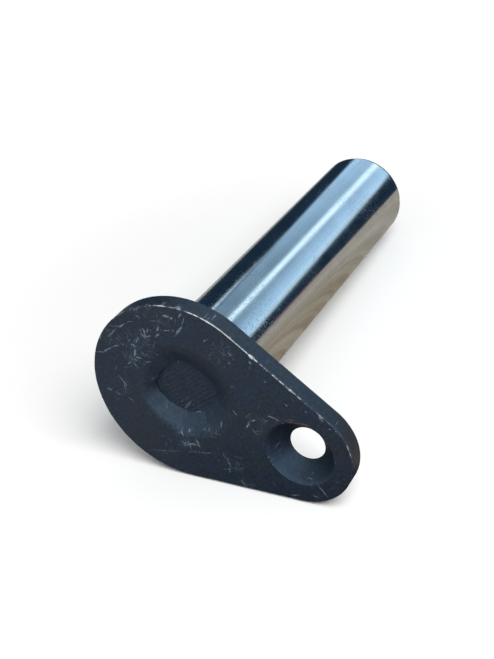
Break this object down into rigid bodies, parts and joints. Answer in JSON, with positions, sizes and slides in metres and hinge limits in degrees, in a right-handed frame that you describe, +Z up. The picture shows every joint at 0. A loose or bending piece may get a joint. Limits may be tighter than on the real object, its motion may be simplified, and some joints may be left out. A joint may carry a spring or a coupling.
{
  "type": "flag pin",
  "caption": "Ground cylinder pin with a teardrop flag plate welded on its head end and a countersunk hole for a retaining bolt, lying as it comes to rest.",
  "frame": {"origin": "centre of the laid pin's box, on the surface it rests on", "axes": "+Z up; +Y from the flag plate towards the shaft's far end, level; +X from the plate's large lobe towards its small lobe, along the flank that it lies on"},
  "size_m": [0.102, 0.1854, 0.0729],
  "materials": {
    "ground_steel": "fine ground, mirror-like along the shaft",
    "coated_plate": "thin dark blue-grey coating, satin, scratched and worn bright along its edges",
    "coated_weld": "smooth weld under the same dark coating"
  },
  "bodies": {
    "root": {"shaft": "ground_steel", "flag_plate": "coated_plate", "weld": "coated_weld"}
  },
  "joints": []
}
